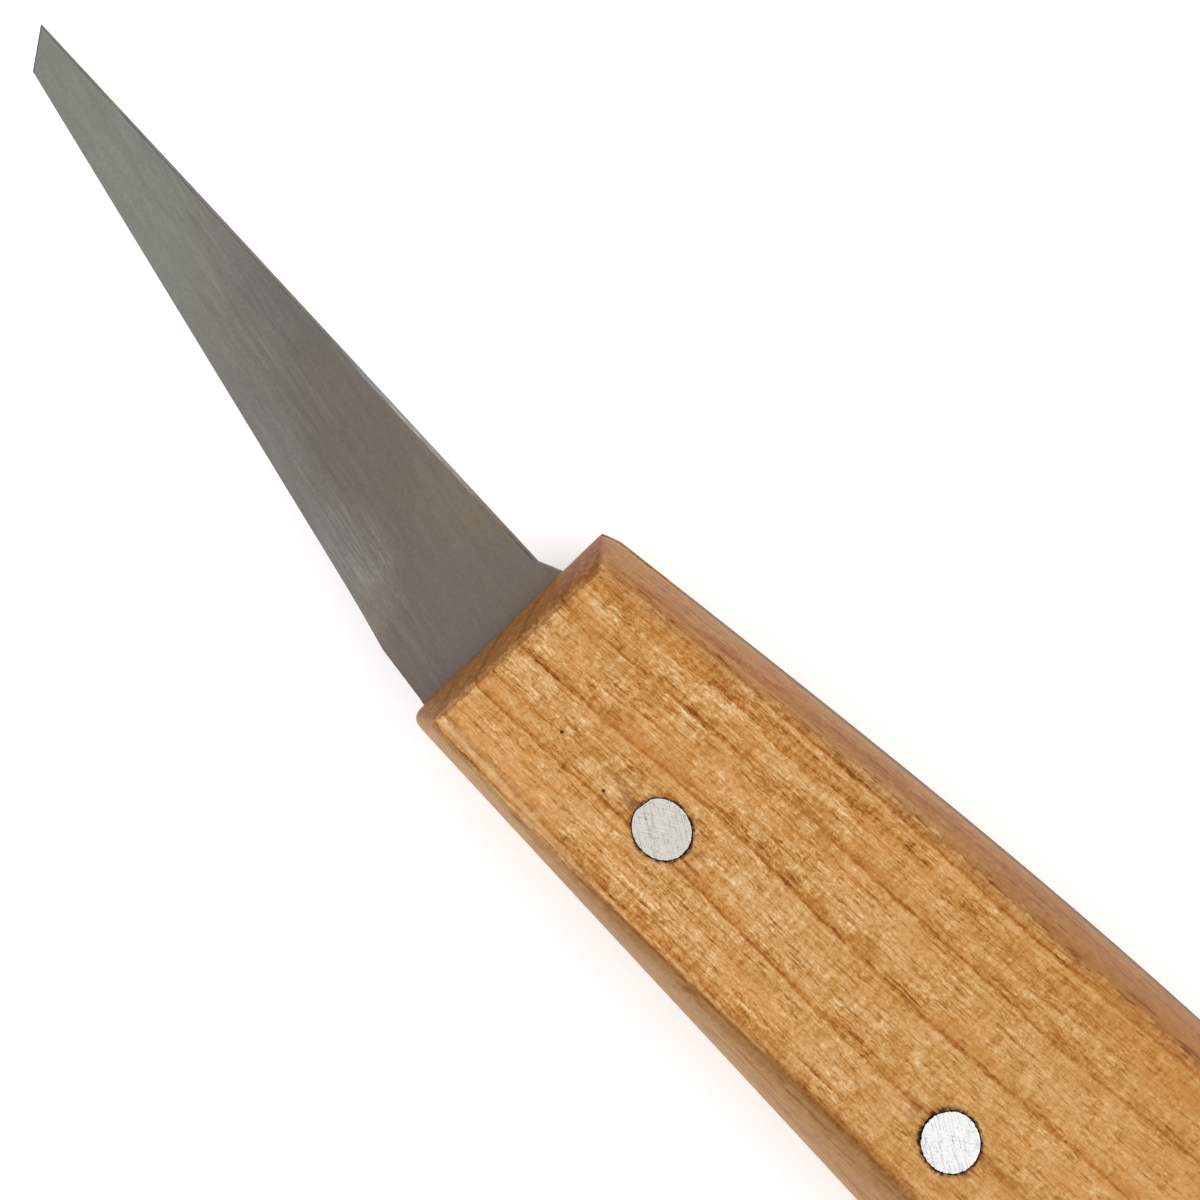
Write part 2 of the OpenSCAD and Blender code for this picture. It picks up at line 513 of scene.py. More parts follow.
def makeBlade(rivetSpots, holeRadius):
    piece = startPiece("bladeSteel")
    drawLoop([place(along, up, steelLow.z) for along, up in steelOutline()])
    chooseAll()
    bpy.ops.mesh.edge_face_add()
    bpy.ops.mesh.extrude_region_move(TRANSFORM_OT_translate={"value": (0, 0, steelThickness)})
    chooseAll()
    bpy.ops.mesh.bisect(plane_co=place(0, 0, middleZ), plane_no=(1, 0, 0))
    for i in range(blade["stations"]):
        share = (i / blade["stations"]) ** blade["stationSpread"]
        cutBlade(place(blend(-blade["heelLength"], -bladeLength, share), 0, middleZ), (1, 0, 0))
    heel, reach = -blade["heelLength"], -blade["bevelReach"]
    grindLine = place(reach, grindHeight(reach), middleZ) - place(heel, grindHeight(heel), middleZ)
    for offset in (-blade["grindSoft"], 0, blade["grindSoft"]):
        cutBlade(place(heel, grindHeight(heel) + offset, middleZ), (-grindLine.y, grindLine.x, 0))
    thinBlade()
    easeSpine()
    drill(piece, rivetSpots, holeRadius)
    print("blade ground and drilled")
    return closePiece(piece, blade["smoothAngle"])


def thinBlade():  # presses each pair of opposite points towards the middle plane
    spots = {(round(v.co.x, 4), round(v.co.y, 4)) for v in editMesh().verts}
    for x, y in sorted(spots):
        along, height = x - scaleLow.x, y - scaleLow.y
        share = thicknessShare(along, height)
        if along <= -blade["heelLength"] and share < 1:
            choose(lambda vert: max(abs(vert.co.x - x), abs(vert.co.y - y)) < blade["samePoint"])
            bpy.ops.transform.resize(value=(1, 1, share), center_override=(x, y, middleZ))


def easeSpine():
    spineY = scaleLow.y + blade["spineHeight"]

    def isRim(edge):
        onSpine = all(abs(v.co.y - spineY) < nearby for v in edge.verts)
        return onSpine and abs(edge.verts[0].co.x - edge.verts[1].co.x) > nearby

    choose(isRim, "EDGE")
    bpy.ops.mesh.bevel(offset=blade["spineEase"], segments=blade["spineSteps"], affect="EDGES")


# rivets
rivet = {
    "endDiameter": 4,
    "shankDiameter": 3.6,
    "endDepth": 0.6,
    "rimEase": 0.05,
    "rimSteps": 3,
    "faceHold": 0.2,
    "sides": 64,
    "smoothAngle": 35,
    "dirtRange": (0.6, 1.8),  # from the middle towards the tip
    "shapes": [  # hammered a little out of round; lengthwise and across, degrees, flat and dirt at the front
        {"size": (1.075, 0.955), "turn": -6, "flat": 0.95, "dirt": -0.06},
        {"size": (1.065, 0.99), "turn": -28, "flat": 0.94, "dirt": 0.06},
        {"size": (1.04, 0.97), "turn": 14, "flat": 0.96, "dirt": 0.03},
    ],
}


def makeRivet():  # a round one over the origin, to be copied
    startPiece("plainRivet")
    middle = Vector((0, 0, middleZ))
    size = {"radius": rivet["endDiameter"] / 2, "depth": handleThickness}
    bpy.ops.mesh.primitive_cylinder_add(vertices=rivet["sides"], location=middle, **size)
    shoulder = handleThickness / 2 - rivet["endDepth"]
    for side in (-1, 1):
        chooseAll()
        bpy.ops.mesh.bisect(plane_co=middle + Vector((0, 0, side * shoulder)), plane_no=(0, 0, 1))
    choose(lambda vert: abs(vert.co.z - middleZ) < shoulder + nearby)
    narrow = rivet["shankDiameter"] / rivet["endDiameter"]
    bpy.ops.transform.resize(value=(narrow, narrow, 1), center_override=middle)
    setMode("OBJECT")
    print("rivet turned")
    return bpy.context.object


def setRivet(plain, name, spot, shape):  # a copy in its hole, hammered and eased
    piece = copyPiece(plain, name)
    bpy.ops.transform.translate(value=(spot.x, spot.y, 0))
    setMode("OBJECT")
    hammer(spot, rivet["endDiameter"] / 2, shape)
    setMode("EDIT")
    faceZ = handleThickness / 2 - nearby
    choose(lambda edge: all(abs(v.co.z - middleZ) > faceZ for v in edge.verts), "EDGE")
    bpy.ops.mesh.bevel(offset=rivet["rimEase"], segments=rivet["rimSteps"], affect="EDGES")
    choose(lambda face: len(face.verts) == rivet["sides"], "FACE")
    bpy.ops.mesh.inset(thickness=rivet["faceHold"], use_individual=True)
    print(name, "set")
    return closePiece(piece, rivet["smoothAngle"])


def pastRivet(x, y, spot, shape):  # distance past the rim as if it were round, for the shaders
    turn = math.radians(shape["turn"])
    lengthwise = (x - spot.x) * math.cos(turn) + (y - spot.y) * math.sin(turn)
    across = (y - spot.y) * math.cos(turn) - (x - spot.x) * math.sin(turn)
    fromMiddle = ((lengthwise / shape["size"][0]) ** 2 + (across / shape["size"][1]) ** 2) ** 0.5
    return fromMiddle - rivet["endDiameter"] / 2


def dirtReach(x, spot, shape):  # how much wider the dirt is on the side of the tip
    return (spot.x - x).step(*rivet["dirtRange"]) * shape["dirt"]


# oiled wood, colours as screen values and lengths in mm; most pairs say where a change begins and is full
wood = {
    "tones": [(107, 53, 9), (145, 88, 32), (175, 127, 66), (201, 161, 111), (231, 205, 162)],
    "plain": 0.6,  # place of the plain wood among these tones
    "orange": (187, 123, 60),
    "redLine": (104, 44, 14),
    "grainTurn": 2.5,  # degrees off the length of the knife, at the belly
    "grainFan": 0.0035,  # how much the lines spread towards the butt, per mm
    "grainSways": [  # waves in the fibres, per mm and how far they shift
        ((0.03, 0.06, 0.06), (0, 1.2, 1.2)),
        ((0.9, 2.0, 2.0), (0, 0.22, 0.22)),
    ],
    "ringSpacing": 3.2,
    "fineSpacing": 1.15,
    "pith": (-48.1, -38),  # across the grain from the belly, and from the resting face
    "rings": {  # shares of a ring where each mark begins, is full, fades and ends
        "lateWood": (0.7, 0.93, 0.96, 1.0),
        "line": (0.9, 0.93, 0.95, 0.98),
        "fineLine": (0.8, 0.9, 0.92, 1.0),
    },
    "brokenRings": {"line": (-0.15, 0.0), "fineLine": (-0.1, 0.1)},  # only on light patches
    "bandAcross": 18.8,  # a broad dark band near the spine, from the belly
    "bandReach": (0.2, 0.9),
    "patternShift": (31, 17, 43),  # keeps the patterns apart
    "patterns": {  # per mm along and across the grain, detail, and where a mark begins and is full
        "streak": (0.03, 0.45, 1, None),
        "patch": (0.45, 0.7, 2, None),
        "ray": (3.0, 1.0, 1, None),
        "warm": (0.05, 0.12, 1, None),
        "lively": (0.3, 0.5, 1, (0.4, 0.6)),
        "stroke": (0.7, 2.2, 1, None),
        "thread": (0.09, 3.0, 3, None),
        "fine": (5.0, 7.5, 1, None),
        "hair": (0.16, 6.5, 0, (0.58, 0.66)),
        "dash": (0.9, 6.0, 0, (0.62, 0.7)),
        "fleck": (1.7, 5.0, 0, (0.6, 0.7)),
        "pore": (0.8, 5.0, 0, (0.7, 0.75)),
        "longDash": (0.35, 3.5, 0, (0.66, 0.74)),
        "mottle": (2.5, 2.5, 2, None),
        "end": (6.0, 1.2, 2, None),
        "blotch": (1.0, 1.7, 1, (0.55, 0.68)),
        "tint": (0.2, 0.4, 1, None),
    },
    "soft": {  # how far each lightens the wood, everywhere
        "streak": 0.2, "patch": 0.4, "ray": 0.45, "blotch": 0.1,
        "lateWood": -0.15, "line": -0.19, "fineLine": -0.13, "band": -0.18,
    },
    "crisp": {  # and these mostly where the wood is lively
        "stroke": 0.15, "thread": 0.4, "fine": 0.6, "fleck": 0.13,
        "hair": -0.16, "dash": -0.17, "pore": -0.2,
    },
    "crispShare": (0.75, 0.35),  # everywhere, and more where it is lively
    "sandTurn": -38,
    "sandPerMm": (0.3, 6.0, 6.0),
    "sandMarks": (0.6, 0.72),
    "sandLight": 0.05,
    "rear": (20, 48),  # from the front; the wood is a little darker and calmer there
    "rearDark": 0.04,
    "rearCalm": 0.3,
    "orangeRay": 0.3,
    "orangeRayMarks": {"ray": (-0.1, 0.15), "streak": (-0.1, 0.1)},
    "orangeParts": {"warm": 0.9, "tint": 0.9},
    "relief": {"stroke": 0.3, "fine": 0.4, "dash": -0.2, "pore": -0.5, "hair": -0.2},
    "bump": (0.3, 0.05),  # strength and depth
    "roughness": 0.52,
    "fineRoughness": 0.16,
    "gloss": 0.15,
}


def addUp(patterns, amounts):
    total = 0.0
    for name, amount in amounts.items():
        total = total + patterns[name] * amount
    return total


def grainPlace(graph, here):  # x runs along the fibres, y and z across them
    lengthwise, across, deep = graph.parts(graph.turned(here, wood["grainTurn"]))
    across = (across - scaleLow.y) / (1 + lengthwise * wood["grainFan"])
    grain = graph.add("ShaderNodeCombineXYZ", None, {0: lengthwise, 1: across, 2: deep})
    for perMm, reach in wood["grainSways"]:
        grain = graph.sway(grain, perMm, reach)
    return grain


def grainPatterns(graph, grain):
    patterns = {}
    for i, (name, (lengthwise, across, detail, marks)) in enumerate(wood["patterns"].items()):
        shifted = graph.vector("ADD", grain, Vector(wood["patternShift"]) * i)
        value = graph.noise(shifted, (lengthwise, across, across), detail)
        patterns[name] = value.step(*marks) if marks else value - 0.5
    return patterns


def addRings(graph, grain, patterns):  # growth rings, fainter ones between them and a dark band
    across, deep = graph.parts(grain)[1:]
    fromPith = ((across - wood["pith"][0]) ** 2 + (deep - wood["pith"][1]) ** 2) ** 0.5
    ring = (1 - fromPith / wood["ringSpacing"]).fraction()
    fineRing = (fromPith / wood["fineSpacing"] + patterns["streak"]).fraction()
    for name, share in {"lateWood": ring, "line": ring, "fineLine": fineRing}.items():
        begin, full, fade, end = wood["rings"][name]
        patterns[name] = share.step(begin, full) * share.under(fade, end)
    for name, marks in wood["brokenRings"].items():
        patterns[name] = patterns[name] * patterns["patch"].step(*marks)
    patterns["band"] = across.near(wood["bandAcross"], *wood["bandReach"])


def faceTone(graph, here, patterns, along):
    sandPlace = graph.turned(here, wood["sandTurn"])
    sanding = graph.noise(sandPlace, wood["sandPerMm"], 1.0).step(*wood["sandMarks"])
    crisp = sanding * wood["sandLight"] + addUp(patterns, wood["crisp"])
    everywhere, lively = wood["crispShare"]
    light = addUp(patterns, wood["soft"]) + crisp * (everywhere + patterns["lively"] * lively)
    rear = along.step(*wood["rear"])
    light = wood["plain"] - rear * wood["rearDark"] + light * (1 - rear * wood["rearCalm"])
    tone = graph.ramp(light, wood["tones"])
    rays = wood["orangeRay"]
    for name, marks in wood["orangeRayMarks"].items():
        rays = patterns[name].step(*marks) * rays
    return graph.tint(tone, rays + addUp(patterns, wood["orangeParts"]), wood["orange"])


# edges of the wood, partly worn and partly painted shade and sheen, in mm from the front, over the belly,
# past the edge of the face or under the face
wornAndShaded = {
    # tones of the flanks: partly the less sanded wood, partly painted shade and sheen for sides turned from
    # the light
    "backSide": (122, 72, 26),
    "bellySide": (116, 90, 60),
    # dark brown, for the painted shade by the crease and for the mottling of the flanks
    "crease": (120, 74, 38),
    # painted sheen: a pale tone for the rounded rim of the upper flank
    "rim": (190, 144, 98),
    # pale line near the front of the belly, partly worn wood and partly painted highlight
    "paleEdge": (216, 176, 130),
    "endGrain": (120, 74, 27),
    "endRed": (116, 62, 24),
    "endDark": (58, 32, 10),
    "endLight": (176, 122, 64),
    "faceEdge": 1.85,  # inset of the face from the outline
    "backShare": (0.8, 0.97),  # shares of the inset that the worn edge keeps, at the front and at the rear
    "backShareRange": (24, 36),
    "bellyShare": (0.85, 1.8),
    "bellyShareRange": (10, 48),
    "buttShare": 0.5,  # taken off again towards the butt
    "buttShareRange": (56, 86),
    "backEnd": (65, 76),
    "bellyEnd": (78, 92),
    "ragged": {"stroke": 0.8, "thread": 0.6},  # patterns that make the edges uneven
    "raggedBack": 1.5,
    "raggedBelly": 0.2,
    "raggedRest": 0.3,
    "sideEdge": (-0.25, 0.05),
    "frontEdge": (-0.3, 0.0),
    "flankDepth": (0.1, 0.9),
    "rimDepth": (0.3, 0.65),
    "upperHeight": (5, 13),
    "nearFront": (16, 36),
    "frontMitre": (-0.5, 0.1),  # where the front meets belly and back
    "lineMitre": (-0.2, 0.1),
    "backBand": (0.0, 1.4),
    "backBandThreads": (-0.1, 0.1),
    "bellyBand": (0.0, 0.5),
    "bellyBandStart": (6, 20),
    "backLine": (-0.1, 0.04, 0.22),  # lines: place, half width, and half width with the soft edge
    "bellyLine": (-0.05, 0.05, 0.18),
    "bellyLineStart": (8, 20),
    "palePlace": (1.95, 0.1, 0.35),
    "innerPlace": (2.4, 0.05, 0.25),
    "bellyFront": (10, 20),
    "frontLine": (0.0, 0.05, 0.2),
    "sideMottle": (0.05, 0.2),
    "endHeight": (10, 16),
    "endMottle": (-0.05, 0.2),
    "endMarks": (-0.1, 0.15),
    "endPores": {"lateWood": 0.3, "fineLine": 0.4},
    "shares": {  # how strongly each is laid on
        "band": 0.35, "side": 0.55, "lowFront": 0.1, "mottle": 0.35, "rim": 0.1, "frontRimSheen": 0.25,
        "longDash": 0.5, "backLine": 0.2, "backDash": 0.6, "bellyLine": 0.45, "paleEdge": 0.4,
        "innerLine": 0.3, "frontLine": 0.55, "endMarks": 0.3, "endLight": 0.4, "front": 0.9,
    },
}


def edgePlaces(patterns, along, height, z):  # back, belly and front count from the edge of the face inwards
    ragged = addUp(patterns, wornAndShaded["ragged"])
    backShare = blend(*wornAndShaded["backShare"], along.step(*wornAndShaded["backShareRange"]))
    bellyShare = blend(*wornAndShaded["bellyShare"], along.step(*wornAndShaded["bellyShareRange"]))
    bellyShare = bellyShare - along.step(*wornAndShaded["buttShareRange"]) * wornAndShaded["buttShare"]
    fromBack = backHeight(along) - height
    uneven = ragged * wornAndShaded["raggedRest"]
    return {
        "along": along,
        "height": height,
        "uneven": uneven,
        "back": fromBack / backShare + ragged * wornAndShaded["raggedBack"] - wornAndShaded["faceEdge"],
        "belly": height / bellyShare + ragged * wornAndShaded["raggedBelly"] - wornAndShaded["faceEdge"],
        "front": along + uneven - wornAndShaded["faceEdge"],
        "depth": handleThickness / 2 - abs(z - middleZ),
        "mitre": height.least(fromBack) - along,
        "beforeHump": along.under(*wornAndShaded["backEnd"]),
        "beforeButt": along.under(*wornAndShaded["bellyEnd"]),
    }


def bandTone(graph, tone, patterns, at):  # the face darkens beside the back and the belly: partly a darker band broken by the threads, partly painted shade by the crease
    backBand = at["back"].under(*wornAndShaded["backBand"]) * at["beforeHump"]
    backBand = backBand * patterns["thread"].step(*wornAndShaded["backBandThreads"])
    bellyBand = at["belly"].under(*wornAndShaded["bellyBand"]) * at["beforeButt"]
    bellyBand = bellyBand * at["along"].step(*wornAndShaded["bellyBandStart"])
    return graph.tint(tone, (backBand + bellyBand) * wornAndShaded["shares"]["band"], wornAndShaded["crease"])


def sideTone(graph, tone, patterns, at):
    shares = wornAndShaded["shares"]
    onFlank = (at["depth"] - at["uneven"]).step(*wornAndShaded["flankDepth"])
    onBack = at["back"].under(*wornAndShaded["sideEdge"]) * at["beforeHump"]
    onBelly = at["belly"].under(*wornAndShaded["sideEdge"]) * at["beforeButt"]
    onSide = 1 - (1 - onFlank) * (1 - onBack) * (1 - onBelly)
    onRim = at["depth"].under(*wornAndShaded["rimDepth"])
    upper = at["height"].step(*wornAndShaded["upperHeight"])
    nearFront = at["along"].under(*wornAndShaded["nearFront"])
    # the flanks take their own tone, partly less sanded wood and partly painted shade and sheen, with back
    # and belly sides apart
    side = graph.tint(colour(*wornAndShaded["bellySide"]), upper, wornAndShaded["backSide"])
    side = graph.tint(side, patterns["mottle"].step(*wornAndShaded["sideMottle"]) * shares["mottle"], wornAndShaded["crease"])
    tone = graph.blend(onSide * (shares["side"] + (1 - upper) * nearFront * shares["lowFront"]), tone, side)
    # painted sheen on the rounded rim along the back, stronger towards the front
    rim = onSide * onRim * upper * (shares["rim"] + nearFront * shares["frontRimSheen"])
    tone = graph.tint(tone, rim, wornAndShaded["rim"])
    return graph.tint(tone, onSide * patterns["longDash"] * shares["longDash"], wood["redLine"])


def lineTone(graph, tone, patterns, at):  # thin lines along the edges; near the front of the belly a pale line, partly worn wood and partly painted highlight, with a line of painted shade inside it
    shares = wornAndShaded["shares"]
    backLine = at["back"].near(*wornAndShaded["backLine"]) * at["beforeHump"]
    dashed = shares["backLine"] + patterns["dash"] * shares["backDash"]
    tone = graph.tint(tone, backLine * dashed, wood["redLine"])
    bellyLine = at["belly"].near(*wornAndShaded["bellyLine"]) * at["beforeButt"]
    bellyLine = bellyLine * at["along"].step(*wornAndShaded["bellyLineStart"])
    tone = graph.tint(tone, bellyLine * shares["bellyLine"], wood["redLine"])
    height = at["height"] + at["uneven"]
    bellyFront = at["along"].under(*wornAndShaded["bellyFront"])
    # painted highlight on the worn belly edge, then painted shade in the crease just inside it
    paleEdge = height.near(*wornAndShaded["palePlace"]) * bellyFront
    tone = graph.tint(tone, paleEdge * shares["paleEdge"], wornAndShaded["paleEdge"])
    innerLine = height.near(*wornAndShaded["innerPlace"]) * bellyFront
    tone = graph.tint(tone, innerLine * shares["innerLine"], wornAndShaded["crease"])
    frontLine = at["front"].near(*wornAndShaded["frontLine"]) * at["mitre"].step(*wornAndShaded["lineMitre"])
    return graph.tint(tone, frontLine * shares["frontLine"], wood["redLine"])


def endTone(graph, tone, patterns, at):  # end grain at the front
    shares = wornAndShaded["shares"]
    end = graph.tint(colour(*wornAndShaded["endGrain"]), at["height"].step(*wornAndShaded["endHeight"]), wornAndShaded["endRed"])
    end = graph.tint(end, patterns["mottle"].step(*wornAndShaded["endMottle"]) * shares["endLight"], wornAndShaded["endLight"])
    pores = addUp(patterns, wornAndShaded["endPores"]) + patterns["end"].step(*wornAndShaded["endMarks"]) * shares["endMarks"]
    end = graph.tint(end, pores.least(1.0), wornAndShaded["endDark"])
    onFront = at["front"].under(*wornAndShaded["frontEdge"]) * at["mitre"].step(*wornAndShaded["frontMitre"])
    return graph.blend(onFront * shares["front"], tone, end)


# dirt round the rivets and in two pin holes, mm
dirt = {
    "grime": (34, 14, 4),
    "specks": [(8.0, 7.3), (12.7, 6.7)],  # the pin holes, behind the front and over the belly
    "speckReach": (0.08, 0.16),
    "ringReach": (0.08, 0.24),  # past the rivet's rim
    "ringWander": 0.2,
    "least": 0.25,  # of the dirt that is left on the cleanest places
    "cleanMarks": (-0.15, 0.1),
    "stainReach": (0.05, 0.45),
    "stain": 0.5,
    "smearStretch": 8,  # squared, along the grain
    "smearReach": (0.7, 1.8),
    "smearMarks": (0.0, 0.12),
    "smear": 0.7,
    "mostStain": 0.7,
    "mostGrime": 0.9,
}


def grimeTone(graph, tone, patterns, x, y, rivetSpots):
    grime, stain = 0.0, 0.0
    patchy = dirt["least"] + patterns["mottle"].step(*dirt["cleanMarks"]) * (1 - dirt["least"])
    smears = patterns["stroke"].step(*dirt["smearMarks"]) * dirt["smear"]
    for spot, shape in zip(rivetSpots, rivet["shapes"]):
        away = pastRivet(x, y, spot, shape) + patterns["fine"] * dirt["ringWander"]
        grime = grime + (away - dirtReach(x, spot, shape)).under(*dirt["ringReach"]) * patchy
        stain = stain + away.under(*dirt["stainReach"]) * patchy * dirt["stain"]
        beside = ((x - spot.x) ** 2 / dirt["smearStretch"] + (y - spot.y) ** 2) ** 0.5
        stain = stain + beside.under(*dirt["smearReach"]) * smears
    for speckAlong, speckUp in dirt["specks"]:
        away = ((x - scaleLow.x - speckAlong) ** 2 + (y - scaleLow.y - speckUp) ** 2) ** 0.5
        grime = grime + away.under(*dirt["speckReach"])
    tone = graph.tint(tone, stain.least(dirt["mostStain"]), wood["redLine"])
    return graph.tint(tone, grime.least(dirt["mostGrime"]), dirt["grime"])


def makeWood(rivetSpots):
    graph = Graph(bpy.data.materials.new("oiledWood"))
    here = graph.inMm()
    x, y, z = graph.parts(here)
    grain = grainPlace(graph, here)
    patterns = grainPatterns(graph, grain)
    addRings(graph, grain, patterns)
    at = edgePlaces(patterns, x - scaleLow.x, y - scaleLow.y, z)
    tone = faceTone(graph, here, patterns, at["along"])
    for layer in (bandTone, sideTone, lineTone, endTone):
        tone = layer(graph, tone, patterns, at)
    return graph.finish({
        "Base Color": grimeTone(graph, tone, patterns, x, y, rivetSpots),
        "Roughness": wood["roughness"] + patterns["fine"] * wood["fineRoughness"],
        "Normal": graph.bump(addUp(patterns, wood["relief"]), *wood["bump"]),
        "Specular IOR Level": wood["gloss"],
    })


# ground steel, in mm from the front of the handle and over the belly; most pairs as for the wood
steel = {
    "body": (157, 152, 144),
    "handleEnd": (152, 140, 131),
    # the tip and edge tones are painted reflection of the bright room on the bevel
    "tip": (168, 170, 160),
    "edge": (162, 158, 151),
    "spine": (149, 143, 137),
    "stain": (154, 140, 124),
    # pale grey for the painted highlights on the spine and where the bevel runs out
    "glint": (196, 194, 188),
    # painted shade on the narrow sides and on the short end of the tip
    "dark": (84, 80, 76),
    "tang": (122, 104, 88),
    "patterns": {  # degrees off the length of the knife, per mm, detail and roughness
        "lines": (-9, (0.35, 7.0, 7.0), 2.0, 0.6),  # nearly along the cutting edge
        "streaks": (-9, (0.2, 1.8, 1.0), 2.0, 0.6),
        "cloud": (0, (0.13, 0.13, 0.13), 3.0, 0.6),
        "speckle": (0, (4.0, 4.0, 4.0), 2.0, 0.7),
    },
    "cloudRise": 0.3,  # how far the patterns shift the limits between the tones
    "streakAlong": 5,
    "streakRise": 0.2,
    "tipSlant": 6,
    "tipRange": (-36, -18),
    "edgeRise": (0.1, 0.45),  # shares of the height from the edge to the spine
    "edgeEnd": (-10, -5),
    "spineRise": (0.4, 0.9),
    "handleRange": (-26, -14),
    "stainCloud": (-0.2, 0.1),
    "spineTop": (-0.2, -0.1),  # under the spine
    "spineEnd": (-2.0, -1.5),
    "heelStart": (-4.2, -3.9),
    "heelDepth": (0.02, 0.06),  # under the flat of the blade
    "runOutHeight": (0.01, 0.04),  # over the cutting edge
    "runOutStart": (-9.6, -8.6),
    "tangRange": (0.0, 1.5),
    "spineGlintPlace": (-13, 2, 9),  # the spine is rubbed smoother here and painted with a broken highlight: middle, half length, and with the soft end
    "spineGlintLines": (-0.3, 0.25),
    "spineGlint": 0.5,
    "edgeShadeShare": 0.8,
    "groundPlace": (-1.0, 1.0, 4.0),  # the grinding lines are clearest here, from the limit of the bevel
    "brushed": {"lines": 0.35, "streaks": 0.45},
    "brushedShare": (0.15, 0.7),  # everywhere, and more where they are clearest
    "speckled": 0.35,
    "overlay": 0.5,
    "glintPlace": (-10.7, 5.0),  # a painted highlight where the bevel runs out
    "glintReach": (4.0, 2.3),
    "glintFade": (0.2, 1.0),
    "glintLines": (0.0, 0.15),
    "glintEven": 0.25,
    "glintShare": 0.35,
    "tipLine": (0.04, 0.14),  # the short end of the blade is painted dark, a painted shade
    "roughness": 0.355,
    "roughLines": {"lines": 0.1, "streaks": 0.05},
    "dullRoughness": 0.15,
    "dullMetal": 0.4,
    "bump": (0.08, 0.01),
    "gloss": 0.1,
    "edgeGlare": 0.42,  # what is left of the glare at a very low angle
}


def flatTone(graph, patterns, along, height):
    rise = (height - edgeHeight(along)) / (blade["spineHeight"] - edgeHeight(along))
    rise = rise + patterns["cloud"] * steel["cloudRise"]
    slanted = along + patterns["streaks"] * steel["streakAlong"] + rise * steel["tipSlant"]
    nearEdge = (rise + patterns["streaks"] * steel["streakRise"]).under(*steel["edgeRise"])
    nearSpine = rise.step(*steel["spineRise"])
    nearHandle = along.step(*steel["handleRange"])
    stained = nearSpine * nearHandle * patterns["cloud"].step(*steel["stainCloud"])
    tone = graph.tint(colour(*steel["body"]), nearHandle, steel["handleEnd"])
    tone = graph.tint(tone, nearSpine * (1 - nearHandle), steel["spine"])
    tone = graph.tint(tone, stained, steel["stain"])
    # painted reflection: lighter along the cutting edge and at the tip
    tone = graph.tint(tone, nearEdge * along.under(*steel["edgeEnd"]), steel["edge"])
    return graph.tint(tone, slanted.under(*steel["tipRange"]), steel["tip"])


def narrowSides(along, height, z):  # the spine, and all the narrow sides: spine, heel and end of the bevel; these are dull and painted dark as painted shade
    onSpine = (height - blade["spineHeight"]).step(*steel["spineTop"]) * along.under(*steel["spineEnd"])
    depth = steelThickness / 2 - abs(z - middleZ)
    onHeel = along.step(*steel["heelStart"]) * depth.step(*steel["heelDepth"])
    onRunOut = (height - edgeHeight(along)).under(*steel["runOutHeight"]) * along.step(*steel["runOutStart"])
    return onSpine, (onSpine + onHeel + onRunOut).least(1.0)


def brushedTone(graph, tone, patterns, along, height, dull):  # grinding lines and a painted highlight where the bevel runs out
    ground = (height - grindHeight(along)).near(*steel["groundPlace"])
    everywhere, clearest = steel["brushedShare"]
    brushed = addUp(patterns, steel["brushed"]) * (everywhere + ground * clearest + dull)
    shade = 0.5 + brushed + patterns["speckle"] * steel["speckled"]
    grey = graph.blend(shade, (0, 0, 0, 1), (1, 1, 1, 1))
    tone = graph.blend(steel["overlay"], tone, grey, "OVERLAY")
    # painted highlight where the bevel runs out near the heel
    (placeAlong, placeUp), (reachAlong, reachUp) = steel["glintPlace"], steel["glintReach"]
    away = ((along - placeAlong) / reachAlong) ** 2 + ((height - placeUp) / reachUp) ** 2
    glint = steel["glintEven"] + patterns["lines"].step(*steel["glintLines"]) * (1 - steel["glintEven"])
    return graph.tint(tone, away.under(*steel["glintFade"]) * glint * steel["glintShare"], steel["glint"])


def makeSteel():
    graph = Graph(bpy.data.materials.new("groundSteel"))
    here = graph.inMm()
    patterns = graph.swings(here, steel["patterns"])
    x, y, z = graph.parts(here)
    along, height = x - scaleLow.x, y - scaleLow.y
    onSpine, narrow = narrowSides(along, height, z)
    inHandle = along.step(*steel["tangRange"])
    # painted highlight in broken lines on the spine, where the steel is also less dull
    spineGlint = onSpine * patterns["lines"].step(*steel["spineGlintLines"]) * along.near(*steel["spineGlintPlace"])
    spineGlint = spineGlint * steel["spineGlint"]
    dull = (narrow + inHandle).least(1.0) - spineGlint
    tone = flatTone(graph, patterns, along, height)
    # painted shade on the narrow sides
    tone = graph.tint(tone, narrow * steel["edgeShadeShare"], steel["dark"])
    tone = graph.tint(tone, inHandle, steel["tang"])
    tone = graph.tint(tone, spineGlint, steel["glint"])
    tone = brushedTone(graph, tone, patterns, along, height, dull)
    fromTipEnd = along + bladeLength - (blade["spineHeight"] - height) * tipSlope
    # painted shade on the short end of the tip
    tone = graph.tint(tone, fromTipEnd.under(*steel["tipLine"]) * steel["edgeShadeShare"], steel["dark"])
    roughness = addUp(patterns, steel["roughLines"]) + dull * steel["dullRoughness"]
    return graph.finish({
        "Base Color": tone,
        "Metallic": 1 - dull * steel["dullMetal"],
        "Roughness": steel["roughness"] + roughness,
        "Normal": graph.bump(patterns["lines"], *steel["bump"]),
        "Specular IOR Level": steel["gloss"],
        "Specular Tint": (steel["edgeGlare"],) * 3 + (1.0,),
    })


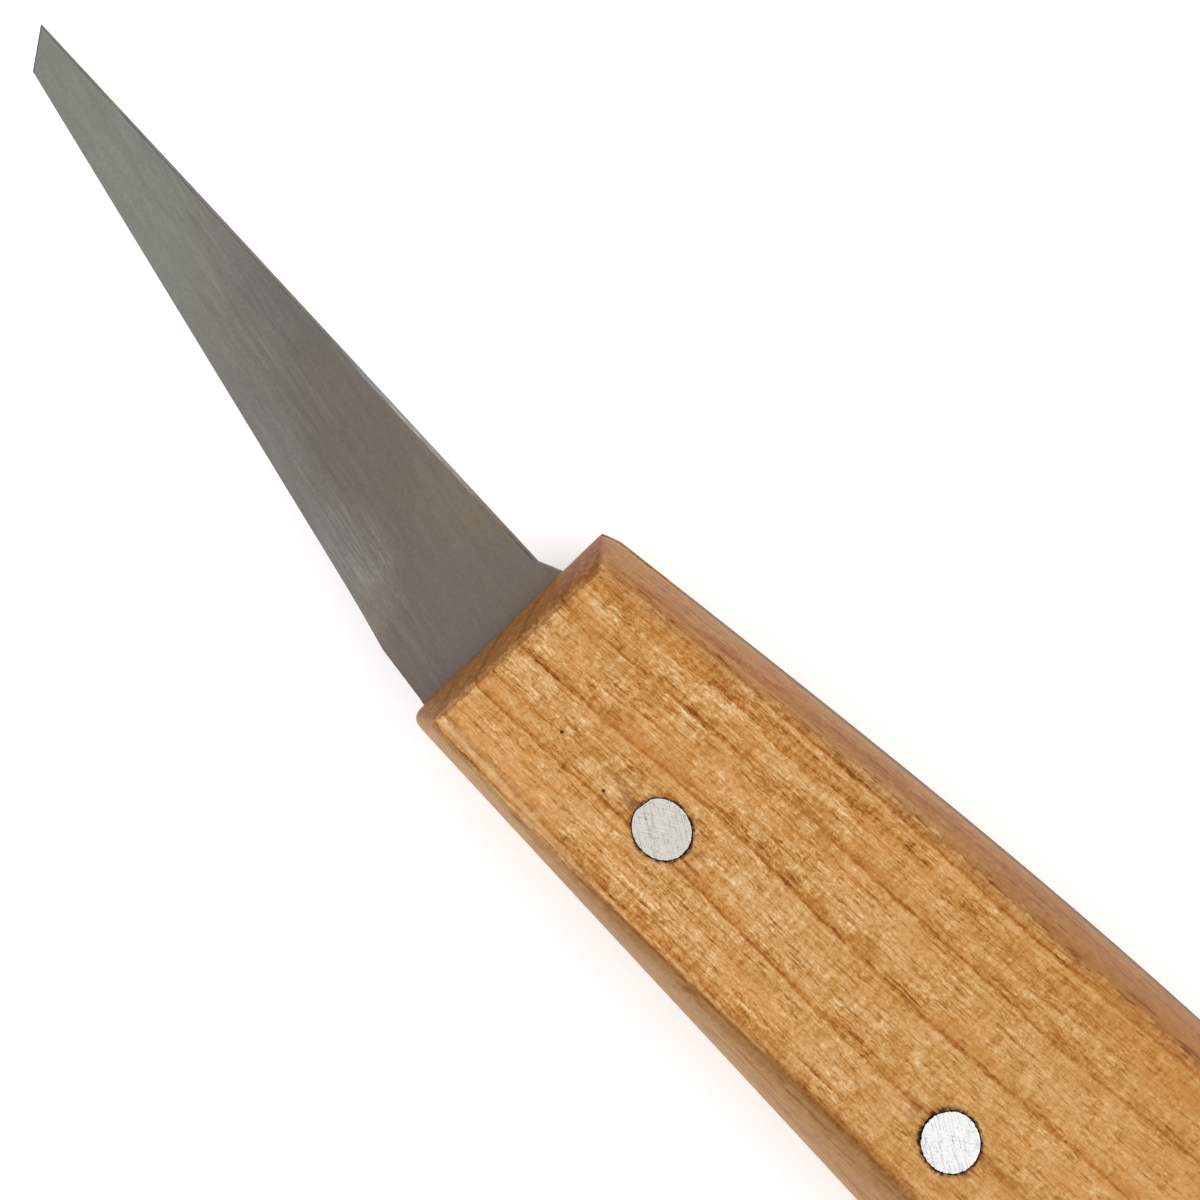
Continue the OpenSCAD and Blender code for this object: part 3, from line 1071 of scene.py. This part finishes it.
# sanded rivet metal; patterns and bump as for the steel
rivetMetal = {
    # bright for the rear rivets; dull is the front rivet's painted shade, the same metal
    "bright": (246, 246, 244),
    "dull": (219, 215, 207),
    "scratch": (120, 118, 114),
    "light": (255, 255, 255),
    "grime": (26, 10, 2),
    "patterns": {
        "scratches": (-28, (0.8, 11.0, 1.0), 2.0, 0.65),
        "crossed": (35, (0.8, 10.0, 1.0), 2.0, 0.65),
        "pits": (0, (8.0, 8.0, 8.0), 1.0, 0.5),
    },
    "marks": {  # where each begins and is full, and how dark it is
        "scratches": (0.0, 0.18, 0.4),
        "pits": (0.1, 0.2, 0.35),
        "crossed": (0.08, 0.2, 0.25),
    },
    "lightMarks": (-0.2, -0.1),
    "lightShare": 0.4,
    "rimStart": (-0.06, -0.01),  # where the dirt begins and ends, mm past the rim
    "rimEnd": (0.5, 1.0),
    "rimWander": 0.2,
    "roughness": 0.6,
    "scratchRoughness": 0.2,
    "relief": {"scratches": 1.0, "crossed": 0.5, "pits": 0.4},
    "bump": (0.25, 0.02),
    "gloss": 0.1,
}


def metalTone(graph, patterns, x, rivetSpots):  # the front rivet is painted darker than the others, a painted shade
    radius = rivet["endDiameter"] / 2
    fromFront = x.step(rivetSpots[0].x + radius, rivetSpots[1].x - radius)
    tone = graph.tint(colour(*rivetMetal["dull"]), fromFront, rivetMetal["bright"])
    marks = 0.0
    for name, (begin, full, amount) in rivetMetal["marks"].items():
        marks = marks + patterns[name].step(begin, full) * amount
    tone = graph.tint(tone, marks, rivetMetal["scratch"])
    light = patterns["crossed"].under(*rivetMetal["lightMarks"]) * rivetMetal["lightShare"]
    return graph.tint(tone, light, rivetMetal["light"])


def makeRivetMetal(rivetSpots):
    graph = Graph(bpy.data.materials.new("sandedRivet"))
    here = graph.inMm()
    patterns = graph.swings(here, rivetMetal["patterns"])
    x, y = graph.parts(here)[:2]
    tone = metalTone(graph, patterns, x, rivetSpots)
    rim = 0.0
    for spot, shape in zip(rivetSpots, rivet["shapes"]):
        away = pastRivet(x, y, spot, shape) + dirtReach(x, spot, shape)
        away = away + patterns["pits"] * rivetMetal["rimWander"]
        rim = rim + away.step(*rivetMetal["rimStart"]) * away.under(*rivetMetal["rimEnd"])
    return graph.finish({
        "Base Color": graph.tint(tone, rim, rivetMetal["grime"]),
        "Metallic": 1 - rim,
        "Roughness": rivetMetal["roughness"] + patterns["scratches"] * rivetMetal["scratchRoughness"],
        "Normal": graph.bump(addUp(patterns, rivetMetal["relief"]), *rivetMetal["bump"]),
        "Specular IOR Level": rivetMetal["gloss"],
    })


rivetNodes = {"frontRivetPin": "front_rivet", "middleRivetPin": "middle_rivet", "rearRivetPin": "rear_rivet"}
rivetSpots = []
for node in rivetNodes.values():
    low, high = boxInMm(node)
    rivetSpots.append((low + high) / 2)

woodFinish = makeWood(rivetSpots)
steelFinish = makeSteel()
rivetFinish = makeRivetMetal(rivetSpots)
print("materials ready")

leftScale = makeLeftScale(rivetSpots, rivet["endDiameter"] / 2 + scale["holeGap"])
fitOut(leftScale, woodFinish, "left_scale")
fitOut(makeRightScale(leftScale), woodFinish, "right_scale")
fitOut(makeBlade(rivetSpots, rivet["shankDiameter"] / 2), steelFinish, "blade")
plainRivet = makeRivet()
for (name, node), spot, shape in zip(rivetNodes.items(), rivetSpots, rivet["shapes"]):
    fitOut(setRivet(plainRivet, name, spot, shape), rivetFinish, node)
bpy.data.objects.remove(plainRivet)

# floor, light and camera
studio = {
    "floorSize": 6.0,
    "floorDrop": 0.02,  # mm under the knife
    "floorTone": (251, 251, 251),
    "floorRoughness": 0.9,
    "floorGlow": 0.2,  # a lit table, so the shadows stay pale
    "bright": 1.45,
    "horizon": 0.85,
    "horizonRange": (0.0, 0.5),  # heights in the sky, 1 is straight up
    "dim": 0.4,  # the part of the sky that the blade mirrors
    "dimAxis": (0, -0.4, 1),
    "dimRange": (0.7, 0.9),
    "keyPower": 1.5,
    "keySize": 0.6,
    "keyPlace": (0.25, 0.75, 0.75),
    "fill": 2.5,  # low light on the belly side
    "fillSide": (0.3, 0.9),
    "fillHeight": (0.35, 0.6),
}


def makeFloor():
    bpy.ops.object.select_all(action="DESELECT")
    bpy.ops.mesh.primitive_plane_add(size=studio["floorSize"], location=(0, 0, -studio["floorDrop"] * mm))
    floor = bpy.context.object
    floor.name = "floor"
    material = Graph(bpy.data.materials.new("paleFloor")).finish({
        "Base Color": colour(*studio["floorTone"]),
        "Roughness": studio["floorRoughness"],
        "Emission Color": (1, 1, 1, 1),
        "Emission Strength": studio["floorGlow"],
    })
    floor.data.materials.append(material)


def makeLight():
    world = bpy.data.worlds.new("studio")
    bpy.context.scene.world = world
    graph = Graph(world)
    direction = graph.add("ShaderNodeTexCoord", output="Generated")
    back, up = graph.parts(direction)[1:]
    dimAxis = Vector(studio["dimAxis"]).normalized()
    settings = {"operation": "DOT_PRODUCT"}
    nearDim = graph.add("ShaderNodeVectorMath", settings, {0: direction, 1: dimAxis}, "Value")
    strength = blend(studio["horizon"], studio["bright"], up.step(*studio["horizonRange"]))
    strength = strength - nearDim.step(*studio["dimRange"]) * (studio["bright"] - studio["dim"])
    fill = (-back).step(*studio["fillSide"]) * up.under(*studio["fillHeight"])
    strength = strength + fill * studio["fill"]
    sky = graph.node("ShaderNodeBackground", None, {"Color": (1, 1, 1, 1), "Strength": strength})
    output = graph.node("ShaderNodeOutputWorld")
    graph.tree.links.new(sky.outputs[0], output.inputs[0])
    bpy.ops.object.light_add(type="AREA", location=studio["keyPlace"])
    key = bpy.context.object
    key.data.energy = studio["keyPower"]
    key.data.size = studio["keySize"]
    key.rotation_euler = Vector(studio["keyPlace"]).to_track_quat("Z", "Y").to_euler()


shot = {
    "sensor": 36,  # mm
    "nearest": 10,  # mm, what is closer isn't drawn
    "distance": 350,  # mm from the knife
    "frameWidth": 80.6,  # mm across the picture
    "tilt": 4,  # degrees towards the spine
    "turn": 47.28,  # degrees round the view
    "aim": (3.33, 14.53),  # mm behind the front and over the belly
}


def makeCamera():
    tilt = math.radians(shot["tilt"])
    away = Vector((0, math.sin(tilt), math.cos(tilt))) * shot["distance"]
    bpy.ops.object.camera_add(location=(place(*shot["aim"], middleZ) + away) * mm)
    camera = bpy.context.object
    camera.rotation_mode = "ZYX"
    camera.rotation_euler = (-tilt, 0, math.radians(shot["turn"]))
    camera.data.sensor_width = shot["sensor"]
    camera.data.lens = shot["sensor"] * shot["distance"] / shot["frameWidth"]
    camera.data.clip_start = shot["nearest"] * mm
    bpy.context.scene.camera = camera


makeFloor()
makeLight()
makeCamera()
bpy.context.scene.view_settings.view_transform = "Standard"
print("studio ready")
